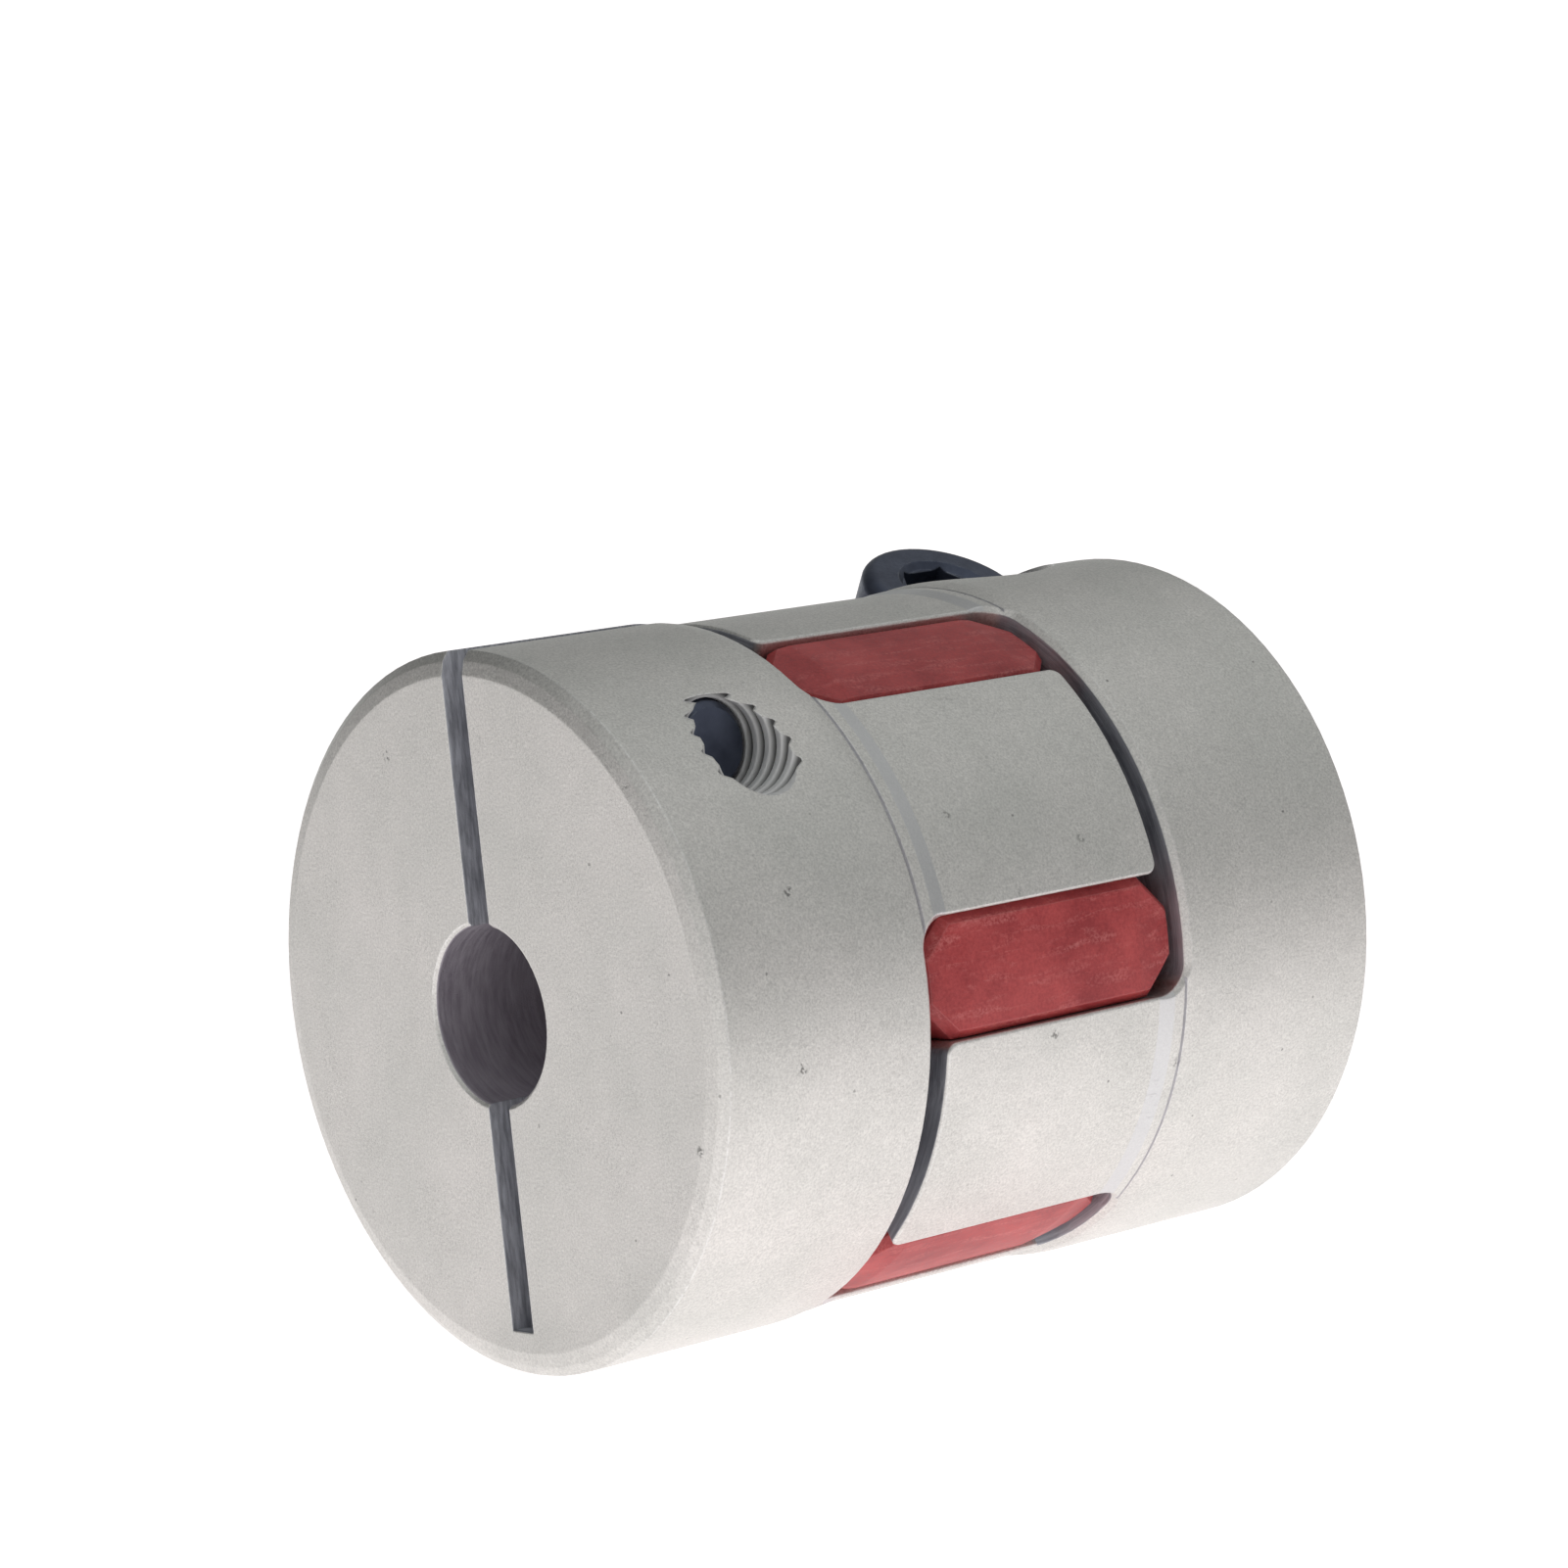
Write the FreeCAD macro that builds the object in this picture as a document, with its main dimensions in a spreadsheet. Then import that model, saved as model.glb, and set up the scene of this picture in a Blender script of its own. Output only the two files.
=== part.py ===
import FreeCAD, Part
import math
import os

import Sketcher

# Clamp-type jaw coupling: two identical split hubs, an elastomer spider between their jaws, and one
# clamp screw in each hub.
#
# Frame: X runs along the shaft axis from the drive hub to the driven hub, Z is up and points at the
# drive hub's clamp slit. The origin is the centre of the drive hub's bore mouth. Angles about X are
# counted from +Z towards -Y. Millimetres.

DOCUMENT = "JawCoupling"
SHEET = "dims"
WORKING = "working"

# Driving dimensions: alias, value, what it is.
DIMENSIONS = [
    ("hub_diameter", 20.0, "outside diameter of the hubs"),
    ("hub_body", 7.4, "length of the solid part of a hub, outer face to jaw roots"),
    ("jaw_length", 8.85, "jaw length, root to tip"),
    ("coupling_length", 24.25, "outer face to outer face, hubs pushed onto the spider"),
    ("bore_diameter", 5.0, "shaft bore"),
    ("bore_chamfer", 0.1, "chamfer at both mouths of the bore"),
    ("rim_fall", 0.66, "radial width of the outer face's two-step chamfer"),
    ("rim_run", 0.3, "axial length of that chamfer"),
    ("rim_knee_fall", 0.26, "where its two steps meet, below the hub's surface"),
    ("rim_knee_run", 0.1, "where its two steps meet, from the outer face"),
    ("jaw_drop", 0.18, "how far the jaws are turned down below the hub body"),
    ("root_crease_width", 0.1, "V-shaped turned line between the hub body and the jaw roots"),
    ("root_crease_depth", 0.08, "depth of that line"),
    ("root_land", 0.46, "end of the land at the jaw roots, from the hub body"),
    ("root_slope", 0.98, "end of the slope from that land down to the jaw surface"),
    ("shoulder_run", 0.8, "length of the rounded shoulder at the end of the hub body"),
    ("shoulder_drop", 0.1, "fall of the rounded shoulder, down to the land"),
    ("jaw_inner_radius", 5.0, "inner end of a jaw"),
    ("jaw_edge_break", 0.06, "chamfer along the outer edges of the flanks"),
    ("jaw_slot", 3.44, "width of the slot that a spider arm fills, between two flanks"),
    ("jaw_root_fillet", 0.9, "fillet between a flank and the hub body"),
    ("jaw_tip_round", 0.35, "round at the tip corners of a jaw"),
    ("slit_width", 0.94, "clamp slit"),
    ("slit_depth", 8.75, "end of the clamp slit below the shaft axis"),
    ("screw_offset", 6.85, "clamp screw axis from the shaft axis"),
    ("screw_setback", 4.1, "clamp screw axis from the hub's outer face"),
    ("seat_distance", 4.2, "counterbore floor from the slit's middle plane"),
    ("counterbore_diameter", 5.7, "pocket for the screw head"),
    ("clearance_diameter", 3.2, "screw hole between the pocket and the slit"),
    ("thread_pitch", 0.5, "pitch of the M3 coarse thread"),
    ("tap_diameter", 2.62, "core of the tapped hole"),
    ("tap_notch_depth", 0.21, "depth of a thread notch in the tapped hole"),
    ("tap_notch_floor", 0.0625, "width of that notch's floor"),
    ("tap_start", 0.75, "first notch from the slit's middle plane"),
    ("thread_diameter", 2.9, "outside of the screw's thread"),
    ("screw_notch_depth", 0.25, "depth of a thread notch in the screw"),
    ("screw_crest", 0.09, "width of the crest between two notches of the screw"),
    ("head_diameter", 5.2, "screw head"),
    ("head_height", 3.0, "screw head"),
    ("head_round", 0.4, "round on the head's top edge"),
    ("head_foot_chamfer", 0.1, "chamfer on the head's lower edge"),
    ("socket_width", 2.5, "hexagon socket across its flats"),
    ("socket_depth", 1.5, "hexagon socket"),
    ("socket_cone", 0.45, "depth of the drill point below the socket"),
    ("socket_mouth", 3.1, "diameter of the socket's chamfered mouth"),
    ("socket_mouth_depth", 0.2, "depth of that chamfer"),
    ("screw_length", 10.0, "under the head to the tip"),
    ("screw_tip_chamfer", 0.4, "chamfer at the tip"),
    ("seat_gap", 0.02, "running gap under the screw head"),
    ("spider_diameter", 19.4, "outside of the arms"),
    ("spider_width", 9.3, "axial width of ring and arms"),
    ("spider_gap", 0.05, "gap between the spider and the drive hub's face"),
    ("spider_ring", 9.2, "outside of the central ring"),
    ("spider_hole", 6.4, "hole through the ring"),
    ("arm_width", 3.36, "width of an arm between its parallel sides"),
    ("arm_corner", 1.0, "chamfer on the four corners of an arm, seen from outside"),
    ("arm_end_run", 1.5, "axial length of the slope at both ends of an arm's outer face"),
    ("arm_end_drop", 0.2, "radial fall of that slope"),
    ("arm_edge_bevel", 0.23, "bevel around an arm's outer face"),
    ("arm_root_fillet", 0.3, "fillet between an arm and the ring"),
    ("spider_edge_round", 0.12, "round on the spider's hole"),
]

JAWS = 3
ARMS = 6
FLANK_ANGLE = 120.0
TAP_NOTCHES = 15
SCREW_NOTCHES = 17
NOTCHES_ABOVE_TAP = 7
DRIVEN_TURN = -60.0
OVERLAP = 1.0


def fill_sheet(doc):
    doc.addObject("Spreadsheet::Sheet", WORKING)
    sheet = doc.addObject("Spreadsheet::Sheet", SHEET)
    for row, (alias, value, note) in enumerate(DIMENSIONS, start=1):
        sheet.set(f"A{row}", alias)
        sheet.set(f"B{row}", str(value))
        sheet.set(f"C{row}", note)
        sheet.setAlias(f"B{row}", alias)
    doc.recompute()
    return sheet


# ---------------------------------------------------------------- helpers


def origin_feature(body, role):
    return next(f for f in body.Origin.OriginFeatures if f.Role == role)


def new_sketch(body, name, role, lift=None, shift=None, turn=0):
    """A sketch on one of the body's own origin planes.

    lift moves it along the plane's normal, shift moves its origin in the plane (two expressions),
    and turn turns it about the normal, in degrees.
    """
    sketch = body.newObject("Sketcher::SketchObject", name)
    sketch.AttachmentSupport = [(origin_feature(body, role), "")]
    sketch.MapMode = "FlatFace"
    if turn:
        about_normal = FreeCAD.Rotation(FreeCAD.Vector(0, 0, 1), turn)
        sketch.AttachmentOffset = FreeCAD.Placement(FreeCAD.Vector(), about_normal)
    for axis, expression in zip("xyz", (*(shift or (None, None)), lift)):
        if expression:
            sketch.setExpression(f"AttachmentOffset.Base.{axis}", expression)
    body.Document.recompute()
    return sketch


def number(item, expression):
    """Value of a sheet expression, worked out in a spare cell."""
    cell = "A1"
    working = item.Document.getObject(WORKING)
    working.set(cell, f"={expression}")
    working.recompute()
    value = working.get(cell)
    return float(getattr(value, "Value", value))


def constrain(sketch, kind, *args, bound=None):
    """Add a constraint, with its value bound to the sheet expression in bound."""
    if bound is None:
        return sketch.addConstraint(Sketcher.Constraint(kind, *args))
    index = sketch.addConstraint(Sketcher.Constraint(kind, *args, number(sketch, bound)))
    sketch.setExpression(f"Constraints[{index}]", bound)
    return index


def pin_point(sketch, edge, end, x, y):
    """Hold one end of an edge at (x, y), two sheet expressions."""
    for kind, axis, bound in (("DistanceX", -2, x), ("DistanceY", -1, y)):
        if abs(number(sketch, bound)) < 1e-9:
            constrain(sketch, "PointOnObject", edge, end, axis)
        else:
            constrain(sketch, kind, -1, 1, edge, end, bound=bound)


def outline(sketch, corners, arcs=None):
    """Closed outline through corners, each an (x, y) pair of sheet expressions.

    arcs names the edges that are arcs: edge number, then the radius and the side that the centre
    is on, 1 for left of the way from corner to corner and -1 for right.
    """
    points = [FreeCAD.Vector(number(sketch, x), number(sketch, y), 0) for x, y in corners]
    starts = []
    for index, start in enumerate(points):
        end = points[(index + 1) % len(points)]
        if index in (arcs or {}):
            radius, side = arcs[index]
            starts.append(add_arc(sketch, start, end, number(sketch, radius), side))
            constrain(sketch, "Radius", index, bound=radius)
        else:
            sketch.addGeometry(Part.LineSegment(start, end), False)
            starts.append((1, 2))
    for index, (x, y) in enumerate(corners):
        before = index - 1 if index else len(corners) - 1
        constrain(sketch, "Coincident", before, starts[before][1], index, starts[index][0])
        pin_point(sketch, index, starts[index][0], x, y)


def add_arc(sketch, start, end, radius, side):
    """Arc from start to end; returns which of its two ends lies at start and which at end."""
    chord = end - start
    middle = (start + end) * 0.5
    left = FreeCAD.Vector(-chord.y, chord.x, 0).normalize()
    height = (radius**2 - chord.Length**2 / 4) ** 0.5
    centre = middle + left * height * side
    circle = Part.Circle(centre, FreeCAD.Vector(0, 0, 1), radius)
    first, last = (start, end) if side > 0 else (end, start)
    angles = [FreeCAD.Vector(1, 0, 0).getAngle(p - centre) for p in (first, last)]
    signed = [a if (p - centre).y >= 0 else -a for a, p in zip(angles, (first, last))]
    sketch.addGeometry(Part.ArcOfCircle(circle, signed[0], signed[1]), False)
    return (1, 2) if side > 0 else (2, 1)


def add_circle(sketch, diameter):
    """A circle about the sketch's origin."""
    normal = FreeCAD.Vector(0, 0, 1)
    circle = Part.Circle(FreeCAD.Vector(), normal, number(sketch, diameter) / 2)
    edge = sketch.addGeometry(circle, False)
    constrain(sketch, "Coincident", edge, 3, -1, 1)
    constrain(sketch, "Diameter", edge, bound=diameter)


def add_feature(body, kind, name, profile=None, **expressions):
    """A feature on the body's tip, its numbers bound to sheet expressions."""
    feature = body.newObject(f"PartDesign::{kind}", name)
    if profile:
        feature.Profile = profile
        profile.Visibility = False
    for prop, expression in expressions.items():
        feature.setExpression(prop, expression)
    return feature


def pocket(body, name, profile, length, reverse=False):
    """Pocket of the given depth; the volume has to fall."""
    before = body.Shape.Volume
    feature = add_feature(body, "Pocket", name, profile, Length=length)
    feature.Reversed = reverse
    body.Document.recompute()
    if body.Shape.Volume > before - 1e-3:
        raise RuntimeError(f"{body.Label}: {name} removed nothing")
    return feature


def groove(body, name, profile, axis):
    """Full-turn cut about a sketch axis; the volume has to fall."""
    before = body.Shape.Volume
    feature = add_feature(body, "Groove", name, profile)
    feature.ReferenceAxis = (profile, [axis])
    feature.Angle = 360
    body.Document.recompute()
    if body.Shape.Volume > before - 1e-3:
        raise RuntimeError(f"{body.Label}: {name} removed nothing")
    return feature


def polar_pattern(body, name, features, count):
    """The features repeated evenly about the X axis."""
    pattern = body.newObject("PartDesign::PolarPattern", name)
    pattern.Originals = features
    pattern.Axis = (origin_feature(body, "X_Axis"), [""])
    pattern.Angle = 360
    pattern.Occurrences = count
    body.Tip = pattern
    body.Document.recompute()
    return pattern


def notch_pattern(body, name, feature, role, count):
    """One thread notch repeated at the thread's pitch, backwards along an origin axis."""
    pattern = body.newObject("PartDesign::LinearPattern", name)
    pattern.Originals = [feature]
    pattern.Direction = (origin_feature(body, role), [""])
    pattern.Reversed = True
    pattern.Occurrences = count
    pattern.setExpression("Length", f"dims.thread_pitch * {count - 1}")
    body.Tip = pattern
    body.Document.recompute()
    return pattern


def edges_where(shape, test):
    return [f"Edge{i}" for i, edge in enumerate(shape.Edges, start=1) if test(edge)]


def dress(body, kind, name, size, test):
    """A fillet or chamfer on every edge of the tip that passes the test."""
    base = body.Tip
    names = edges_where(base.Shape, test)
    if not names:
        raise RuntimeError(f"{body.Label}: {name} found no edge")
    feature = body.newObject(f"PartDesign::{kind}", name)
    feature.Base = (base, names)
    feature.setExpression("Radius" if kind == "Fillet" else "Size", size)
    body.Document.recompute()
    if feature.Shape.isNull():
        raise RuntimeError(f"{body.Label}: {name} made no shape")


def is_circle(edge, centre, radius):
    """Whether the edge lies on the circle of that radius about centre, square to X or Z."""
    curve = edge.Curve
    if not isinstance(curve, Part.Circle) or abs(curve.Radius - radius) > 1e-4:
        return False
    return curve.Center.distanceToPoint(centre) < 1e-4


def runs_along_x(edge):
    return isinstance(edge.Curve, Part.Line) and abs(abs(edge.Curve.Direction.x) - 1) < 1e-6


def distances_from_x(edge):
    """How far the edge's ends are from the X axis."""
    return [(v.Point.y**2 + v.Point.z**2) ** 0.5 for v in edge.Vertexes]


def thread_notch(sketch, wall, floor, half_mouth, half_floor, place):
    """A thread notch beside the sketch's vertical axis, from the wall's radius to the floor's.

    half_mouth and half_floor are half its widths at wall and floor, and place is its middle.
    """
    outline(
        sketch,
        [
            (wall, f"{place} - ({half_mouth})"),
            (wall, f"{place} + ({half_mouth})"),
            (floor, f"{place} + ({half_floor})"),
            (floor, f"{place} - ({half_floor})"),
        ],
    )


# ---------------------------------------------------------------- hub


def flank_profile(body, name, offset):
    """One jaw's section: a 60 degree wedge whose flanks lie half a slot from the arms' centrelines."""
    sketch = new_sketch(body, name, "YZ_Plane", offset)
    outer = number(sketch, "dims.hub_diameter / 2")
    inner = number(sketch, "dims.jaw_inner_radius")
    reach = number(sketch, "dims.jaw_slot / 2")
    along = FreeCAD.Vector(0.5, -(3**0.5) / 2, 0)
    across = FreeCAD.Vector(-(3**0.5) / 2, -0.5, 0)
    right = [along * (r**2 - reach**2) ** 0.5 + across * reach for r in (inner, outer)]
    left = [FreeCAD.Vector(-p.x, p.y, 0) for p in right]
    add_arc(sketch, left[1], right[1], outer, 1)
    sketch.addGeometry(Part.LineSegment(right[1], right[0]), False)
    add_arc(sketch, left[0], right[0], inner, 1)
    sketch.addGeometry(Part.LineSegment(left[0], left[1]), False)
    constrain(sketch, "Coincident", 0, 2, 1, 1)
    constrain(sketch, "Coincident", 1, 2, 2, 2)
    constrain(sketch, "Coincident", 2, 1, 3, 1)
    constrain(sketch, "Coincident", 3, 2, 0, 1)
    constrain(sketch, "Coincident", 0, 3, -1, 1)
    constrain(sketch, "Coincident", 2, 3, -1, 1)
    constrain(sketch, "Radius", 0, bound="dims.hub_diameter / 2")
    constrain(sketch, "Radius", 2, bound="dims.jaw_inner_radius")
    for flank in (1, 3):
        constrain(sketch, "Distance", -1, 1, flank, bound="dims.jaw_slot / 2")
    constrain(sketch, "Horizontal", 0, 1, 0, 2)
    slope = sketch.addConstraint(Sketcher.Constraint("Angle", 1, math.radians(FLANK_ANGLE)))
    sketch.setExpression(f"Constraints[{slope}]", f"{FLANK_ANGLE} deg")
    return sketch


def build_hub(doc, label):
    body = doc.addObject("PartDesign::Body", label)
    body.Label = label
    blank_hub(body)
    cut_slit(body)
    drill_screw_holes(body)
    return body


def blank_hub(body):
    """The turned body with its three jaws, before the slit and the screw holes."""
    root = number(body, "dims.hub_body")
    tip = number(body, "dims.hub_body + dims.jaw_length")
    full = "dims.hub_diameter / 2"
    bore = "dims.bore_diameter / 2"

    turned = new_sketch(body, "turned_outline", "XZ_Plane")
    outline(
        turned,
        [
            ("0", bore),
            ("0", f"{full} - dims.rim_fall"),
            ("dims.rim_knee_run", f"{full} - dims.rim_knee_fall"),
            ("dims.rim_run", full),
            ("dims.hub_body", full),
            ("dims.hub_body", bore),
        ],
    )
    blank = add_feature(body, "Revolution", "turned_body", turned)
    blank.ReferenceAxis = (turned, ["H_Axis"])
    blank.Angle = 360
    body.Document.recompute()

    section = flank_profile(body, "jaw_section", f"dims.hub_body - {OVERLAP}")
    jaw = add_feature(body, "Pad", "jaw", section, Length=f"dims.jaw_length + {OVERLAP}")
    body.Document.recompute()
    polar_pattern(body, "jaws", [jaw], JAWS)

    def flank_edge(edge, x):
        level = all(abs(vertex.Point.x - x) < 1e-4 for vertex in edge.Vertexes)
        return isinstance(edge.Curve, Part.Line) and level and edge.Length > 1

    dress(body, "Fillet", "jaw_roots", "dims.jaw_root_fillet", lambda e: flank_edge(e, root))
    dress(body, "Fillet", "jaw_tips", "dims.jaw_tip_round", lambda e: flank_edge(e, tip))
    hub_radius = number(body, full)

    def outer_flank_edge(edge):
        return runs_along_x(edge) and abs(min(distances_from_x(edge)) - hub_radius) < 1e-4

    edge_break = "dims.jaw_drop + dims.jaw_edge_break"
    dress(body, "Chamfer", "jaw_edges", edge_break, outer_flank_edge)
    turn_down_jaws(body, full)

    origin = FreeCAD.Vector()
    inner_face = FreeCAD.Vector(root, 0, 0)
    bore_radius = number(body, bore)
    dress(
        body,
        "Chamfer",
        "bore_mouths",
        "dims.bore_chamfer",
        lambda e: is_circle(e, origin, bore_radius) or is_circle(e, inner_face, bore_radius),
    )


def turn_down_jaws(body, full):
    """Turn the jaws below the hub body's diameter, with a line and a land at their roots."""
    turning = new_sketch(body, "jaw_turning_outline", "XZ_Plane")
    root = "dims.hub_body"
    shoulder = f"{root} - dims.shoulder_run"
    land = f"{full} - dims.shoulder_drop"
    jaws = f"{full} - dims.jaw_drop"
    end = f"{root} + dims.jaw_length + {OVERLAP}"
    clear = f"{full} + {OVERLAP}"
    outline(
        turning,
        [
            (shoulder, full),
            (root, land),
            (f"{root} + dims.root_crease_width / 2", f"{land} - dims.root_crease_depth"),
            (f"{root} + dims.root_crease_width", land),
            (f"{root} + dims.root_land", land),
            (f"{root} + dims.root_slope", jaws),
            (end, jaws),
            (end, clear),
            (shoulder, clear),
        ],
        arcs={0: (arc_radius("dims.shoulder_run", "dims.shoulder_drop"), -1)},
    )
    groove(body, "jaw_turning", turning, "H_Axis")


def arc_radius(run, fall):
    """Radius of an arc that leaves a line tangentially and falls by fall over run."""
    return f"({run} * {run} + {fall} * {fall}) / (2 * {fall})"


def cut_slit(body):
    """Clamp slit in the XZ plane, from the rim above the bore to a thin web below it."""
    slit = new_sketch(body, "slit_outline", "YZ_Plane")
    half, top = "dims.slit_width / 2", f"dims.hub_diameter / 2 + {OVERLAP}"
    bottom = "-dims.slit_depth"
    outline(slit, [(f"-{half}", bottom), (half, bottom), (half, top), (f"-{half}", top)])
    pocket(body, "slit", slit, "dims.hub_body", reverse=True)


def drill_screw_holes(body):
    """Head pocket on the +Y side, clearance hole up to the slit, tapped hole beyond it."""
    place = ("dims.screw_setback", "dims.screw_offset")
    radius = "dims.hub_diameter / 2"
    seat = new_sketch(body, "seat_circle", "XZ_Plane", "-dims.seat_distance", place)
    add_circle(seat, "dims.counterbore_diameter")
    pocket(body, "head_pocket", seat, radius)
    shank = new_sketch(body, "clearance_circle", "XZ_Plane", shift=place)
    add_circle(shank, "dims.clearance_diameter")
    pocket(body, "clearance_hole", shank, "dims.seat_distance")
    core = new_sketch(body, "tap_circle", "XZ_Plane", shift=place)
    add_circle(core, "dims.tap_diameter")
    pocket(body, "tap_hole", core, radius, reverse=True)

    # The thread is a row of parallel notches at the thread's pitch.
    notch = new_sketch(
        body, "tap_notch_outline", "XY_Plane", "dims.screw_offset", ("dims.screw_setback", None)
    )
    wall = "dims.tap_diameter / 2"
    floor = f"{wall} + dims.tap_notch_depth"
    half_floor = "dims.tap_notch_floor / 2"
    half_mouth = f"{half_floor} + dims.tap_notch_depth * tan(30 deg)"
    thread_notch(notch, wall, floor, half_mouth, half_floor, "-dims.tap_start")
    first = groove(body, "tap_notch", notch, "V_Axis")
    notch_pattern(body, "tap_thread", first, "Y_Axis", TAP_NOTCHES)


# ---------------------------------------------------------------- spider


def build_spider(doc, label):
    body = doc.addObject("PartDesign::Body", label)
    body.Label = label
    start = "dims.hub_body + dims.spider_gap"
    outside = "dims.spider_diameter / 2"

    ring = new_sketch(body, "ring_circles", "YZ_Plane", start)
    add_circle(ring, "dims.spider_ring")
    add_circle(ring, "dims.spider_hole")
    add_feature(body, "Pad", "ring", ring, Length="dims.spider_width")
    doc.recompute()

    arm_section = new_sketch(body, "arm_section", "YZ_Plane", start, turn=180 / ARMS)
    half = "dims.arm_width / 2"
    inside = "(dims.spider_ring + dims.spider_hole) / 4"
    shoulder = f"sqrt({outside} * {outside} - {half} * {half})"
    corners = [(f"-{half}", inside), (half, inside), (half, shoulder), (f"-{half}", shoulder)]
    outline(arm_section, corners, arcs={2: (outside, 1)})
    arm = add_feature(body, "Pad", "arm", arm_section, Length="dims.spider_width")
    doc.recompute()
    polar_pattern(body, "arms", [arm], ARMS)

    ring_radius = number(body, "dims.spider_ring / 2")
    dress(
        body,
        "Fillet",
        "arm_roots",
        "dims.arm_root_fillet",
        lambda e: runs_along_x(e) and abs(min(distances_from_x(e)) - ring_radius) < 1e-3,
    )

    def radial_end_edge(edge):
        reach = distances_from_x(edge)
        return isinstance(edge.Curve, Part.Line) and max(reach) - min(reach) > 1

    dress(body, "Chamfer", "arm_corners", "dims.arm_corner", radial_end_edge)

    # The arms' outer faces fall away a little towards both ends.
    finish = f"{start} + dims.spider_width"
    slope = "dims.arm_end_drop / dims.arm_end_run"
    for name, face, inward in (("near", start, "+"), ("far", finish, "-")):
        outward = "-" if inward == "+" else "+"
        fall = new_sketch(body, f"{name}_slope_outline", "XZ_Plane")
        run_end = f"{face} {inward} dims.arm_end_run"
        clear = f"{face} {outward} {OVERLAP}"
        corners = [
            (clear, f"{outside} - dims.arm_end_drop - {slope} * {OVERLAP}"),
            (run_end, outside),
            (run_end, f"{outside} + {OVERLAP}"),
            (clear, f"{outside} + {OVERLAP}"),
        ]
        outline(fall, corners)
        groove(body, f"{name}_slope", fall, "H_Axis")

    arm_radius = number(body, outside)
    end_radius = number(body, f"{outside} - dims.arm_end_drop")

    def outer_face_edge(edge):
        crease = isinstance(edge.Curve, Part.Circle) and abs(edge.Curve.Radius - arm_radius) < 1e-4
        return min(distances_from_x(edge)) > end_radius - 1e-3 and not crease

    dress(body, "Chamfer", "arm_edges", "dims.arm_edge_bevel", outer_face_edge)

    hole_radius = number(body, "dims.spider_hole / 2")
    faces = [FreeCAD.Vector(number(body, x), 0, 0) for x in (start, finish)]
    dress(
        body,
        "Fillet",
        "hole_edges",
        "dims.spider_edge_round",
        lambda e: any(is_circle(e, centre, hole_radius) for centre in faces),
    )
    return body


# ---------------------------------------------------------------- clamp screw


def build_screw(doc, label):
    """Socket head screw: Z is its axis, the head stands on the XY plane, the shank points down."""
    body = doc.addObject("PartDesign::Body", label)
    body.Label = label
    shank = "dims.thread_diameter / 2"
    head = "dims.head_diameter / 2"
    top = "dims.head_height"
    tip = "-dims.screw_length"

    turned = new_sketch(body, "turned_outline", "XZ_Plane")
    outline(
        turned,
        [
            ("0", tip),
            (f"{shank} - dims.screw_tip_chamfer", tip),
            (shank, f"{tip} + dims.screw_tip_chamfer"),
            (shank, "0"),
            (head, "0"),
            (head, top),
            ("0", top),
        ],
    )
    blank = add_feature(body, "Revolution", "turned_screw", turned)
    blank.ReferenceAxis = (turned, ["V_Axis"])
    blank.Angle = 360
    doc.recompute()

    top_centre = FreeCAD.Vector(0, 0, number(body, top))
    seat_centre = FreeCAD.Vector()
    head_radius = number(body, head)
    dress(
        body, "Fillet", "head_top", "dims.head_round", lambda e: is_circle(e, top_centre, head_radius)
    )
    dress(
        body,
        "Chamfer",
        "head_foot",
        "dims.head_foot_chamfer",
        lambda e: is_circle(e, seat_centre, head_radius),
    )

    mouth = new_sketch(body, "socket_mouth_outline", "XZ_Plane")
    edge = "dims.socket_mouth / 2"
    inner = f"{edge} - dims.socket_mouth_depth"
    low = f"{top} - dims.socket_mouth_depth"
    outline(mouth, [("0", low), (inner, low), (edge, top), ("0", top)])
    groove(body, "socket_mouth", mouth, "V_Axis")

    hexagon = new_sketch(body, "socket_outline", "XY_Plane", top)
    corner = "dims.socket_width / sqrt(3)"
    turns = [f"{60 * side} deg" for side in range(6)]
    outline(hexagon, [(f"{corner} * cos({a})", f"{corner} * sin({a})") for a in turns])
    pocket(body, "socket", hexagon, "dims.socket_depth")

    cone = new_sketch(body, "socket_cone_outline", "XZ_Plane")
    floor = f"{top} - dims.socket_depth"
    half = "dims.socket_width / 2"
    outline(cone, [("0", f"{floor} - dims.socket_cone"), (half, floor), ("0", floor)])
    groove(body, "socket_cone", cone, "V_Axis")

    # The crests stand in the middle of the tapped hole's notches.
    notch = new_sketch(body, "screw_notch_outline", "XZ_Plane")
    half_mouth = "(dims.thread_pitch - dims.screw_crest) / 2"
    half_floor = f"{half_mouth} - dims.screw_notch_depth * tan(30 deg)"
    seat_to_tap = "dims.seat_distance + dims.seat_gap + dims.tap_start"
    place = f"-({seat_to_tap}) + ({NOTCHES_ABOVE_TAP} - 1 / 2) * dims.thread_pitch"
    floor = f"{shank} - dims.screw_notch_depth"
    thread_notch(notch, shank, floor, half_mouth, half_floor, place)
    first = groove(body, "screw_notch", notch, "V_Axis")
    notch_pattern(body, "screw_thread", first, "Z_Axis", SCREW_NOTCHES)
    return body


# ---------------------------------------------------------------- assembly


def driven_placement(sheet):
    """Where the driven hub stands: turned end for end, then about the shaft axis."""
    end_for_end = FreeCAD.Rotation(FreeCAD.Vector(0, 0, 1), 180)
    about_shaft = FreeCAD.Rotation(FreeCAD.Vector(1, 0, 0), DRIVEN_TURN)
    place = FreeCAD.Vector(sheet.coupling_length, 0, 0)
    return FreeCAD.Placement(place, about_shaft.multiply(end_for_end))


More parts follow.
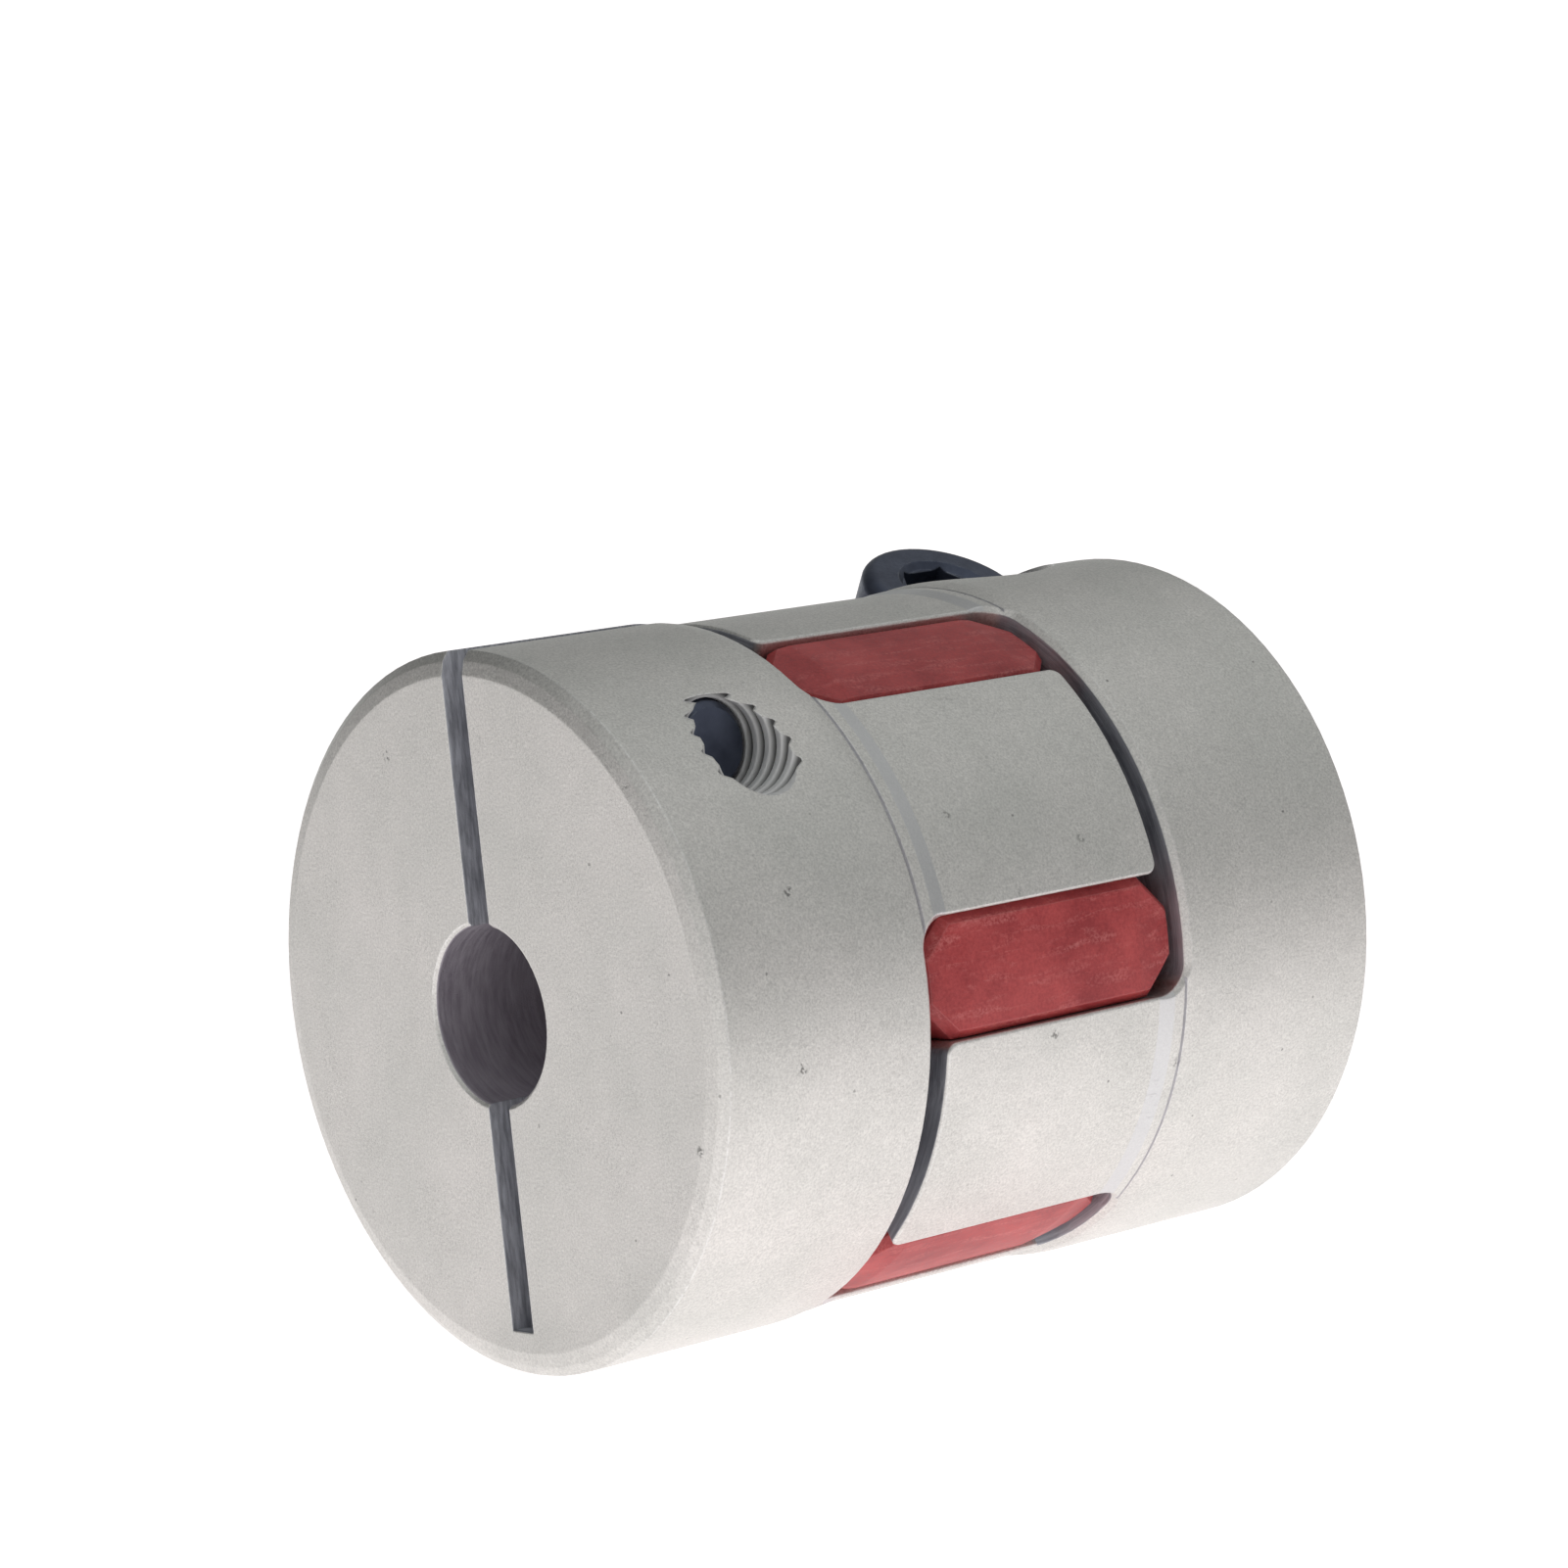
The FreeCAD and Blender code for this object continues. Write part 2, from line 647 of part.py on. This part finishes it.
def screw_placement(sheet):
    """Where the clamp screw stands in its hub: head towards +Y, just clear of its seat."""
    head_outward = FreeCAD.Rotation(FreeCAD.Vector(1, 0, 0), -90)
    seat = sheet.seat_distance + sheet.seat_gap
    return FreeCAD.Placement(
        FreeCAD.Vector(sheet.screw_setback, seat, sheet.screw_offset), head_outward
    )


def check(doc, bodies):
    for item in doc.Objects:
        if {"Invalid", "Error"} & set(item.State):
            raise RuntimeError(f"{item.Name} failed: {item.State}")
    for body in bodies:
        shape = body.Shape
        if shape.isNull() or not shape.isValid() or len(shape.Solids) != 1:
            raise RuntimeError(f"{body.Label} is not one valid solid")
        print(f"{body.Label}: {shape.Volume:.2f} mm3")


def main():
    doc = FreeCAD.newDocument(DOCUMENT)
    sheet = fill_sheet(doc)
    driven = driven_placement(sheet)
    screw = screw_placement(sheet)

    spider = build_spider(doc, "spider")
    drive_screw = build_screw(doc, "drive_clamp_screw")
    driven_screw = build_screw(doc, "driven_clamp_screw")
    drive_hub = build_hub(doc, "drive_hub")
    driven_hub = build_hub(doc, "driven_hub")

    drive_screw.Placement = screw
    driven_hub.Placement = driven
    driven_screw.Placement = driven.multiply(screw)
    doc.recompute()

    bodies = [drive_hub, driven_hub, spider, drive_screw, driven_screw]
    check(doc, bodies)
    os.makedirs("parts", exist_ok=True)
    for body in bodies:
        body.Shape.exportStep(f"parts/{body.Label}.step")


main()
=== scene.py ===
"""Looks of a clamp-type jaw coupling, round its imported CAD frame. Metres, in the row's frame."""

import math

import bpy
from mathutils import Matrix, Vector


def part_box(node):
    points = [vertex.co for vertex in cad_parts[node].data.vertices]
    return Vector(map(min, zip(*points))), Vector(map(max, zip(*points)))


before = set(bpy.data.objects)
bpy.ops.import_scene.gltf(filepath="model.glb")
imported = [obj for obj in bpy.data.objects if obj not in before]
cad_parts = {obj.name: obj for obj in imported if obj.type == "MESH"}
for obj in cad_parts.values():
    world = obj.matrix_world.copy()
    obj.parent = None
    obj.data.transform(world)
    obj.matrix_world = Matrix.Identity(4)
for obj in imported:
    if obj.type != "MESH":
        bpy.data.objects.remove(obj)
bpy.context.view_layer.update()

MM = 0.001

# The coupling's own measures, in millimetres, as the hubs' materials need them.
HUB_RADIUS = 10.0
HUB_BODY = 7.4
BORE_RADIUS = 2.5
SLIT_HALF = 0.47
SLIT_END = -8.75
SCREW_SETBACK = 4.1
SCREW_OFFSET = 6.85
HOLE_RADIUS = 1.62
THREAD_CREST = 1.33
THREAD_ROOT = 1.46
ROOT_LAND = 0.46
ROOT_SLOPE = 0.98
SLOPE_RADIUS = 9.78
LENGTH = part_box("driven_hub")[1].x / MM

# How far a mask reaches past the surface it belongs to, and stays short of one it doesn't.
REACH = 0.02
SLIT_REACH = 0.005
SLIT_STOP = 0.01

# The floor, in metres. Past a line through TABLE_EDGE, towards TABLE_FACING, its glow fades.
FLOOR_REACH = 6.0
TABLE_EDGE = (0.02, -0.012, 0.0)
TABLE_FACING = -57
TABLE_FADE = 0.045
TABLE_GLOW = 0.96
TABLE_DIM = 0.45

# The photograph's viewpoint, in millimetres, with its direction, its upright and its lens.
CAMERA_PLACE = Vector((-77.48, -108.77, 16.78))
CAMERA_FORWARD = Vector((0.6294, 0.7725, -0.0845))
CAMERA_UP = Vector((0.1330, 0.0, 0.9911))
CAMERA_LENS = 113.26
SENSOR_WIDTH = 36.0


# ---------------------------------------------------------------- shader helpers


class Nodes:
    """A node tree under construction: each call adds a node and returns its output socket."""

    def __init__(self, tree):
        self.tree = tree
        self.tree.nodes.clear()

    def put(self, socket, value):
        if isinstance(value, bpy.types.NodeSocket):
            self.tree.links.new(value, socket)
        else:
            socket.default_value = value

    def node(self, kind, inputs, output=0, **settings):
        node = self.tree.nodes.new(kind)
        for key, value in settings.items():
            setattr(node, key, value)
        for key, value in inputs.items():
            self.put(node.inputs[key], value)
        return node.outputs[output]

    def math(self, operation, *values):
        inputs = dict(enumerate(values))
        return self.node("ShaderNodeMath", inputs, operation=operation)

    def times(self, first, *others):
        product = first
        for other in others:
            product = self.math("MULTIPLY", product, other)
        return product

    def largest(self, first, *others):
        result = first
        for other in others:
            result = self.math("MAXIMUM", result, other)
        return result

    def less(self, a, b):
        """1 where a is less than b, and 0 elsewhere."""
        return self.math("LESS_THAN", a, b)

    def more(self, a, b):
        """1 where a is greater than b, and 0 elsewhere."""
        return self.math("GREATER_THAN", a, b)

    def minus(self, a, b):
        return self.math("SUBTRACT", a, b)

    def vector(self, operation, *values, output=0):
        inputs = dict(enumerate(values))
        return self.node("ShaderNodeVectorMath", inputs, output, operation=operation)

    def axes(self, vector):
        node = self.tree.nodes.new("ShaderNodeSeparateXYZ")
        self.put(node.inputs[0], vector)
        return node.outputs[0], node.outputs[1], node.outputs[2]

    def span(self, value, low, high, to_low=0.0, to_high=1.0, smooth=False):
        """Value mapped from low..high to to_low..to_high, held at both ends."""
        kind = "SMOOTHSTEP" if smooth else "LINEAR"
        inputs = {0: value, 1: low, 2: high, 3: to_low, 4: to_high}
        return self.node("ShaderNodeMapRange", inputs, interpolation_type=kind, clamp=True)

    def noise(self, vector, scale, detail=2.0, roughness=0.5, distortion=0.0, output=0):
        inputs = {
            "Vector": vector,
            "Scale": scale,
            "Detail": detail,
            "Roughness": roughness,
            "Distortion": distortion,
        }
        return self.node("ShaderNodeTexNoise", inputs, output, noise_dimensions="3D")

    def spots(self, vector, scale):
        """Distance to the nearest of many scattered points."""
        inputs = {"Vector": vector, "Scale": scale, "Randomness": 1.0}
        return self.node("ShaderNodeTexVoronoi", inputs, feature="F1")

    def stretched(self, vector, x, y, z):
        return self.vector("MULTIPLY", vector, (x, y, z))

    def mix(self, factor, a, b, blend="MIX"):
        node = self.tree.nodes.new("ShaderNodeMix")
        node.data_type = "RGBA"
        node.blend_type = blend
        for key, value in ((0, factor), (6, a), (7, b)):
            self.put(node.inputs[key], value)
        return node.outputs[2]

    def bump(self, height, distance, strength=1.0, normal=None):
        inputs = {"Height": height, "Distance": distance, "Strength": strength}
        if normal is not None:
            inputs["Normal"] = normal
        return self.node("ShaderNodeBump", inputs)

    def round_edges(self, radius):
        """Normal of the surface with its edges rounded to that radius."""
        return self.node("ShaderNodeBevel", {"Radius": radius}, samples=6)

    def edge_mask(self, rounded, low, high):
        """1 on sharp edges and 0 on flat ground."""
        normal = self.node("ShaderNodeNewGeometry", {}, "Normal")
        turned = self.vector("DOT_PRODUCT", rounded, normal, output="Value")
        return self.span(turned, high, low)


class Shader(Nodes):
    """A material built on the Principled shader."""

    def __init__(self, name):
        self.material = bpy.data.materials.new(name)
        self.material.use_nodes = True
        super().__init__(self.material.node_tree)
        self.surface = self.tree.nodes.new("ShaderNodeBsdfPrincipled")
        output = self.tree.nodes.new("ShaderNodeOutputMaterial")
        self.tree.links.new(self.surface.outputs["BSDF"], output.inputs["Surface"])

    def set(self, **inputs):
        """Principled inputs, with underscores for the spaces in their names."""
        for key, value in inputs.items():
            self.put(self.surface.inputs[key.replace("_", " ")], value)


def grey(value, tint=(1.0, 1.0, 1.0)):
    return (value * tint[0], value * tint[1], value * tint[2], 1.0)


def heading(azimuth, elevation):
    """Unit vector towards an azimuth, counted from +X towards +Y, and an elevation, in degrees."""
    turn, rise = math.radians(azimuth), math.radians(elevation)
    level = math.cos(rise)
    return Vector((level * math.cos(turn), level * math.sin(turn), math.sin(rise)))


# ---------------------------------------------------------------- materials


def in_millimetres(shader, vector):
    return shader.stretched(vector, 1 / MM, 1 / MM, 1 / MM)


def hub_coordinates(shader, placement):
    """Millimetre coordinates in a hub's own frame, where X is its axis and its slit is in XZ."""
    location, rotation, _ = placement.decompose()
    raw = shader.node("ShaderNodeTexCoord", {}, "Object")
    inputs = {"Vector": raw, "Location": location, "Rotation": rotation.to_euler()}
    local = shader.node("ShaderNodeMapping", inputs, vector_type="TEXTURE")
    return in_millimetres(shader, local)


def faces_along_axis(shader):
    """1 where the surface is square to the shaft axis, which is X for both hubs."""
    normal = shader.node("ShaderNodeNewGeometry", {}, "Normal")
    return shader.span(shader.math("ABSOLUTE", shader.axes(normal)[0]), 0.75, 0.9)


def cut_masks(s, point, radius):
    """1 where each kind of cut was made: bore, slit, screw holes and the faces between the jaws."""
    x, y, z = s.axes(point)
    bore = s.less(radius, BORE_RADIUS + REACH)
    beside_slit = s.less(s.math("ABSOLUTE", y), SLIT_HALF + SLIT_REACH)
    in_body = s.less(x, HUB_BODY - SLIT_STOP)
    slit = s.times(beside_slit, in_body, s.more(z, SLIT_END - SLIT_REACH))
    screw_axis = (SCREW_SETBACK, 0, SCREW_OFFSET)
    to_screw = s.vector("SUBTRACT", s.stretched(point, 1, 0, 1), screw_axis)
    from_screw = s.vector("LENGTH", to_screw, output="Value")
    hole = s.times(s.less(from_screw, HOLE_RADIUS), s.less(radius, HUB_RADIUS - REACH))
    end = s.times(s.more(x, HUB_BODY - REACH), faces_along_axis(s))
    return bore, slit, hole, end, from_screw


def slope_mask(s, point, radius):
    """1 on the slope at the jaw roots, turned after blasting, so smoother, and painted darker and
    bluer as shade.
    """
    x = s.axes(point)[0]
    before = s.less(x, HUB_BODY + ROOT_LAND)
    slope = s.minus(s.less(x, HUB_BODY + ROOT_SLOPE), before)
    return s.times(slope, s.more(radius, SLOPE_RADIUS))


def blemishes(s, point):
    """Masks of the dark specks and ragged nicks, and of the fine dark scratches."""
    jitter = s.stretched(s.noise(point, 6.0, 2.0, output=1), 0.1, 0.1, 0.1)
    ragged = s.vector("ADD", point, jitter)
    speck_patch = s.span(s.noise(point, 0.6, 1.0), 0.5, 0.62)
    speck = s.times(s.span(s.spots(ragged, 1.15), 0.035, 0.06, 1.0, 0.0), speck_patch)
    crumbs = s.span(s.noise(point, 8.0, 2.0), 0.5, 0.58)
    nick = s.times(s.span(s.spots(ragged, 0.36), 0.05, 0.08, 1.0, 0.0), crumbs)
    field = s.noise(s.stretched(point, 0.9, 7.0, 5.5), 1.0, 2.0, 0.5, 0.6)
    ridge = s.math("ABSOLUTE", s.minus(field, 0.5))
    scratch_patch = s.span(s.noise(point, 0.45, 1.0), 0.53, 0.63)
    scratch = s.times(s.span(ridge, 0.0, 0.004, 1.0, 0.0), scratch_patch)
    return s.largest(speck, nick), scratch


def blasted_aluminium(name, placement):
    """Bead-blasted aluminium with bare milled metal in the bore, slit and screw holes."""
    s = Shader(name)
    point = hub_coordinates(s, placement)
    radius = s.vector("LENGTH", s.stretched(point, 0, 1, 1), output="Value")
    bore, slit, hole, end, from_screw = cut_masks(s, point, radius)
    cut = s.largest(bore, slit, hole, end)
    slope = slope_mask(s, point, radius)
    pit, scratch = blemishes(s, point)
    rounded = s.round_edges(0.09 * MM)
    ragged = s.span(s.noise(point, 6.0, 4.0, 0.75), 0.42, 0.56)
    edge = s.times(s.edge_mask(rounded, 0.88, 0.985), ragged)

    # Blasted colour: slow mottling and a fine grain, darker in pits, with painted shade, darker and
    # bluer, on the slope.
    cloud = s.noise(point, 0.28, 3.0, 0.55)
    patch = s.noise(point, 1.6, 3.0, 0.6)
    grain = s.noise(point, 14.0, 3.0, 0.75)
    value = s.times(
        s.span(cloud, 0.3, 0.7, 0.955, 1.02),
        s.span(patch, 0.3, 0.7, 0.975, 1.02),
        s.span(grain, 0.25, 0.75, 0.72, 1.19),
        s.span(pit, 0.0, 1.0, 1.0, 0.45),
    )
    value = s.minus(value, s.times(scratch, 0.16))
    cool = grey(0.745, (1.005, 1.0, 0.965))
    warm = grey(0.755, (1.02, 1.0, 0.97))
    tone = s.node("ShaderNodeCombineColor", {0: value, 1: value, 2: value})
    blasted = s.mix(1.0, s.mix(s.span(cloud, 0.3, 0.7), cool, warm), tone, "MULTIPLY")
    # Painted shade: the slope at the jaw roots is coloured darker and bluer.
    blasted = s.mix(s.times(slope, 0.7), blasted, grey(0.66, (0.98, 0.99, 1.02)))
    # Edges painted near white: bright burrs, with a painted highlight along them.
    blasted = s.mix(edge, blasted, grey(0.97))

    # Bare metal: streaks in the bore and slit, lathe rings on the ends. The bore and the ends
    # between the jaws are painted darker as shade, and the thread roots are painted dark as shade
    # in their grooves.
    marks = s.noise(s.stretched(point, 9.0, 0.6, 1.2), 1.0, 3.0, 0.65)
    streaks = s.span(marks, 0.35, 0.65)
    bored_and_shaded = s.mix(streaks, grey(0.32, (1.04, 0.94, 1.1)), grey(0.44, (1.03, 0.96, 1.07)))
    sawn = s.mix(streaks, grey(0.36, (0.95, 0.97, 1.08)), grey(0.66, (0.96, 0.98, 1.06)))
    shaded_threads = s.mix(s.span(from_screw, THREAD_CREST, THREAD_ROOT), grey(0.85), grey(0.16))
    across = s.node("ShaderNodeCombineXYZ", {0: radius, 1: s.times(cloud, 0.6)})
    rings = s.span(s.noise(across, 7.0, 3.0, 0.7), 0.35, 0.65)
    faced_and_shaded = s.mix(rings, grey(0.36, (0.95, 0.97, 1.09)), grey(0.6, (0.97, 0.99, 1.06)))
    bare = s.mix(slit, s.mix(end, bored_and_shaded, faced_and_shaded), sawn)
    colour = s.mix(cut, blasted, s.mix(hole, bare, shaded_threads))

    rough = s.span(grain, 0.25, 0.75, 0.45, 0.56)
    rough = s.minus(rough, s.times(edge, 0.18))
    rough = s.minus(rough, s.times(slope, 0.16))
    rough_cut = s.span(marks, 0.35, 0.65, 0.5, 0.7)
    rough = s.math("ADD", s.times(rough, s.minus(1.0, cut)), s.times(rough_cut, cut))

    blast = s.noise(point, 9.0, 4.0, 0.8)
    relief = s.bump(blast, 0.012 * MM, 0.8, rounded)
    relief = s.bump(s.minus(s.times(scratch, -0.6), pit), 0.01 * MM, 0.7, relief)
    dull = s.minus(cut, s.times(end, 0.7))
    metallic = s.span(dull, 0.0, 1.0, 1.0, 0.45)
    s.set(Base_Color=colour, Metallic=metallic, Roughness=rough, Normal=relief)
    return s.material


def red_elastomer(name):
    """Moulded red polyurethane: satin, slightly translucent, with flow marks and scuffs."""
    s = Shader(name)
    point = in_millimetres(s, s.node("ShaderNodeTexCoord", {}, "Object"))
    cloud = s.noise(point, 0.5, 3.0, 0.6)
    flow = s.noise(s.stretched(point, 0.5, 3.0, 3.0), 1.0, 4.0, 0.6, 0.8)
    grain = s.noise(point, 11.0, 3.0, 0.7)
    deep = (0.31, 0.022, 0.028, 1.0)
    lively = (0.52, 0.068, 0.07, 1.0)
    pale = (0.68, 0.24, 0.23, 1.0)
    level = s.math("ADD", s.times(cloud, 0.6), s.times(grain, 0.4))
    colour = s.mix(s.span(level, 0.38, 0.62), deep, lively)
    scuff = s.times(s.span(flow, 0.5, 0.66), s.span(grain, 0.4, 0.62))
    rounded = s.round_edges(0.08 * MM)
    edge = s.edge_mask(rounded, 0.9, 0.985)
    colour = s.mix(s.times(scuff, 0.4), colour, pale)
    colour = s.mix(s.times(edge, 0.5), colour, pale)
    rough = s.span(grain, 0.3, 0.7, 0.42, 0.56)
    relief = s.bump(flow, 0.02 * MM, 0.5, rounded)
    relief = s.bump(grain, 0.006 * MM, 0.7, relief)
    s.set(Base_Color=colour, Roughness=rough, Normal=relief, Subsurface_Weight=0.18)
    s.set(Subsurface_Radius=(0.9 * MM, 0.18 * MM, 0.12 * MM), Subsurface_Scale=1.0, IOR=1.5)
    return s.material


def black_oxide_steel(name):
    """Black-oxide alloy steel: dark blue-black, satin, lighter along the edges with wear and a
    painted highlight.
    """
    s = Shader(name)
    point = in_millimetres(s, s.node("ShaderNodeTexCoord", {}, "Object"))
    cloud = s.noise(point, 0.8, 3.0, 0.6)
    grain = s.noise(point, 9.0, 3.0, 0.7)
    rounded = s.round_edges(0.07 * MM)
    edge = s.edge_mask(rounded, 0.9, 0.995)
    # Edges painted lighter: wear, and a painted highlight along the rims.
    wear_and_highlight = s.times(edge, s.span(s.noise(point, 4.0, 3.0, 0.7), 0.4, 0.62))
    colour = s.mix(s.span(cloud, 0.3, 0.7), (0.06, 0.07, 0.105, 1.0), (0.11, 0.128, 0.18, 1.0))
    colour = s.mix(s.times(wear_and_highlight, 0.7), colour, (0.26, 0.28, 0.32, 1.0))
    rough = s.minus(s.span(grain, 0.3, 0.7, 0.36, 0.5), s.times(wear_and_highlight, 0.1))
    relief = s.bump(grain, 0.006 * MM, 0.6, rounded)
    s.set(Base_Color=colour, Metallic=0.85, Roughness=rough, Normal=relief)
    return s.material


def studio_white(name):
    """White floor, lit from below like a light table that ends in front, on the right."""
    s = Shader(name)
    point = s.node("ShaderNodeTexCoord", {}, "Object")
    tone = s.span(s.noise(point, 9.0, 2.0), 0.3, 0.7, 0.44, 0.46)
    colour = s.node("ShaderNodeCombineColor", {0: tone, 1: tone, 2: tone})
    past_edge = s.vector("SUBTRACT", s.stretched(point, 1, 1, 0), TABLE_EDGE)
    facing = heading(TABLE_FACING, 0)
    past_edge = s.vector("DOT_PRODUCT", past_edge, facing, output="Value")
    glow = s.span(past_edge, 0.0, TABLE_FADE, TABLE_GLOW, TABLE_DIM, smooth=True)
    s.set(Base_Color=colour, Roughness=0.9, Emission_Color=(1.0, 0.965, 0.965, 1.0))
    s.set(Emission_Strength=glow)
    return s.material


def paint(node_name, material):
    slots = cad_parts[node_name].data.materials
    slots.clear()
    slots.append(material)


# ---------------------------------------------------------------- studio


def make_floor():
    """A wide floor that the hubs rest on."""
    mesh = bpy.data.meshes.new("floor")
    signs = ((-1, -1), (1, -1), (1, 1), (-1, 1))
    corners = [(FLOOR_REACH * x, FLOOR_REACH * y, 0) for x, y in signs]
    mesh.from_pydata(corners, [], [(0, 1, 2, 3)])
    floor = bpy.data.objects.new("floor", mesh)
    floor.location.z = -HUB_RADIUS * MM
    mesh.materials.append(studio_white("studio_white"))
    bpy.context.scene.collection.objects.link(floor)


def make_world():
    """A dim room with a soft light high on the right, one on the left and a lit backdrop."""
    world = bpy.data.worlds.new("studio")
    bpy.context.scene.world = world
    world.use_nodes = True
    w = Nodes(world.node_tree)
    direction = w.node("ShaderNodeTexCoord", {}, "Generated")
    height = w.axes(direction)[2]
    horizon = w.span(height, 0.0, 0.16, 0.14, 0.02)
    ceiling = w.span(height, 0.3, 0.95, 0.0, 0.12)
    room = w.math("ADD", horizon, ceiling)

    def facing(azimuth, elevation, outer, inner):
        """1 within inner of that heading, falling to 0 at outer, both as cosines."""
        aim = w.vector("DOT_PRODUCT", direction, heading(azimuth, elevation), output="Value")
        return w.span(aim, outer, inner, smooth=True)

    main_lamp = w.times(facing(320, 50, 0.4, 0.95), 0.46)
    side_lamp = w.times(facing(200, 38, 0.6, 0.97), 0.5)
    lamps = w.math("ADD", main_lamp, side_lamp)
    low = w.span(height, 0.12, 0.32, 1.0, 0.26)
    backdrop = w.times(facing(51, 0, 0.55, 0.9), low)
    total = w.math("ADD", w.math("ADD", room, lamps), backdrop)
    inputs = {"Color": (0.985, 1.0, 0.985, 1.0), "Strength": total}
    background = w.node("ShaderNodeBackground", inputs)
    output = w.tree.nodes.new("ShaderNodeOutputWorld")
    w.tree.links.new(background, output.inputs["Surface"])


def make_camera():
    """The photograph's viewing angle: from the left of the drive hub's face, a little above."""
    forward = CAMERA_FORWARD.normalized()
    right = forward.cross(CAMERA_UP).normalized()
    up = right.cross(forward)
    lens = bpy.data.cameras.new("camera")
    lens.sensor_width = SENSOR_WIDTH
    lens.lens = CAMERA_LENS
    lens.clip_start = 0.005
    lens.clip_end = 10.0
    camera = bpy.data.objects.new("camera", lens)
    turn = Matrix((right, up, -forward)).transposed().to_4x4()
    camera.matrix_world = Matrix.Translation(CAMERA_PLACE * MM) @ turn
    bpy.context.scene.collection.objects.link(camera)
    bpy.context.scene.camera = camera


# ---------------------------------------------------------------- making


def driven_placement():
    """The driven hub's own frame: end for end, then -60 degrees about the shaft axis."""
    shift = Matrix.Translation((LENGTH * MM, 0, 0))
    return shift @ Matrix.Rotation(math.radians(-60), 4, "X") @ Matrix.Rotation(math.pi, 4, "Z")


def make_materials():
    paint("drive_hub", blasted_aluminium("drive_hub_aluminium", Matrix.Identity(4)))
    paint("driven_hub", blasted_aluminium("driven_hub_aluminium", driven_placement()))
    paint("spider", red_elastomer("spider_polyurethane"))
    steel = black_oxide_steel("clamp_screw_steel")
    paint("drive_clamp_screw", steel)
    paint("driven_clamp_screw", steel)


make_camera()
make_world()
make_floor()
make_materials()
bpy.context.scene.view_settings.view_transform = "Standard"
